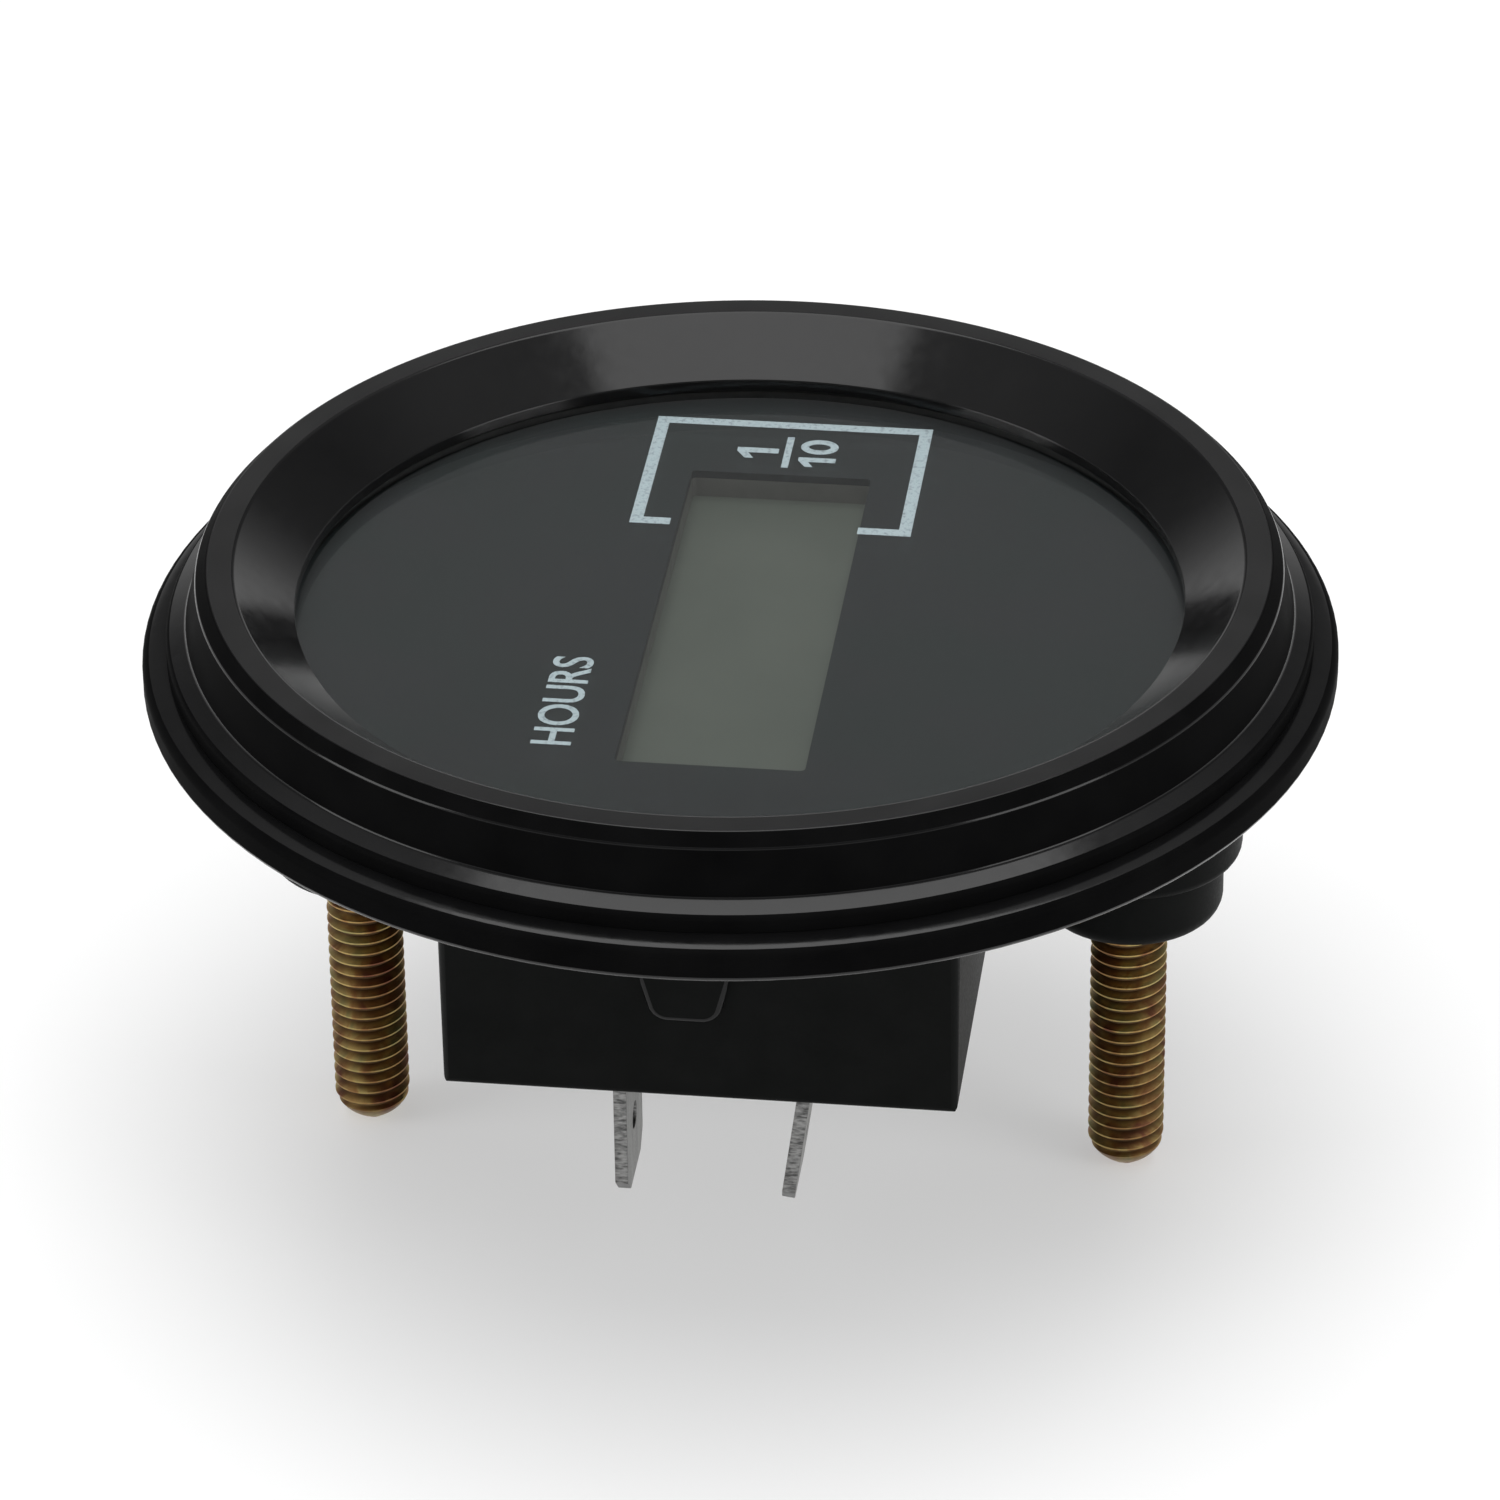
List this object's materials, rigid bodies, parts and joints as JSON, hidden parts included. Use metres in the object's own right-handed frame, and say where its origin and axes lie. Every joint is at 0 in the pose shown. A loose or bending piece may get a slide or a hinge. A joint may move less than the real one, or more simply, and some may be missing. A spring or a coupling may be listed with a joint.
{
  "type": "hour meter",
  "caption": "Round panel-mounted hour meter: glossy stepped bezel over a dark dial with a liquid-crystal counter, a rear box with tab terminals, and threaded mounting studs.",
  "frame": {"origin": "centre of the flange's rear face, which lies against the panel", "axes": "+X along the dial's reading direction, +Y up on the dial, +Z out of the dial towards the reader"},
  "size_m": [0.072, 0.072, 0.0422],
  "materials": {
    "case_plastic": "matte moulded black",
    "bezel_plastic": "polished black",
    "lens_clear": "clear, polished",
    "seal_rubber": "matte",
    "dial_print": "satin dark grey with pale print",
    "zinc_yellow": "yellow zinc",
    "tab_tin": "dull tin over brass",
    "frame_plastic": "matte black",
    "polariser_film": "olive grey film",
    "display_glass": "clear",
    "reflector_foil": "satin",
    "strip_rubber": "silicone with a dark core",
    "board_laminate": "green solder mask",
    "screw_steel": "bright zinc",
    "chip_epoxy": "matte black",
    "crystal_can": "nickel",
    "capacitor_sleeve": "dark blue sleeve",
    "resistor_coat": "tan coating",
    "varistor_coat": "blue coating"
  },
  "bodies": {
    "root": {"case": "case_plastic", "bezel": "bezel_plastic", "lens": "lens_clear", "lens_seal": "seal_rubber", "dial_plate": "dial_print", "mounting_studs": "zinc_yellow", "terminal_upper": "tab_tin", "terminal_lower": "tab_tin", "display_frame": "frame_plastic", "front_polariser": "polariser_film", "lcd_front_glass": "display_glass", "lcd_rear_glass": "display_glass", "lcd_reflector": "reflector_foil", "contact_strip_upper": "strip_rubber", "contact_strip_lower": "strip_rubber", "circuit_board": "board_laminate", "board_screws": "screw_steel", "counter_chip": "chip_epoxy", "memory_chip": "chip_epoxy", "quartz_crystal": "crystal_can", "reservoir_capacitor": "capacitor_sleeve", "dropper_resistor": "resistor_coat", "bridge_rectifier": "chip_epoxy", "surge_varistor": "varistor_coat", "voltage_regulator": "chip_epoxy"}
  },
  "joints": []
}
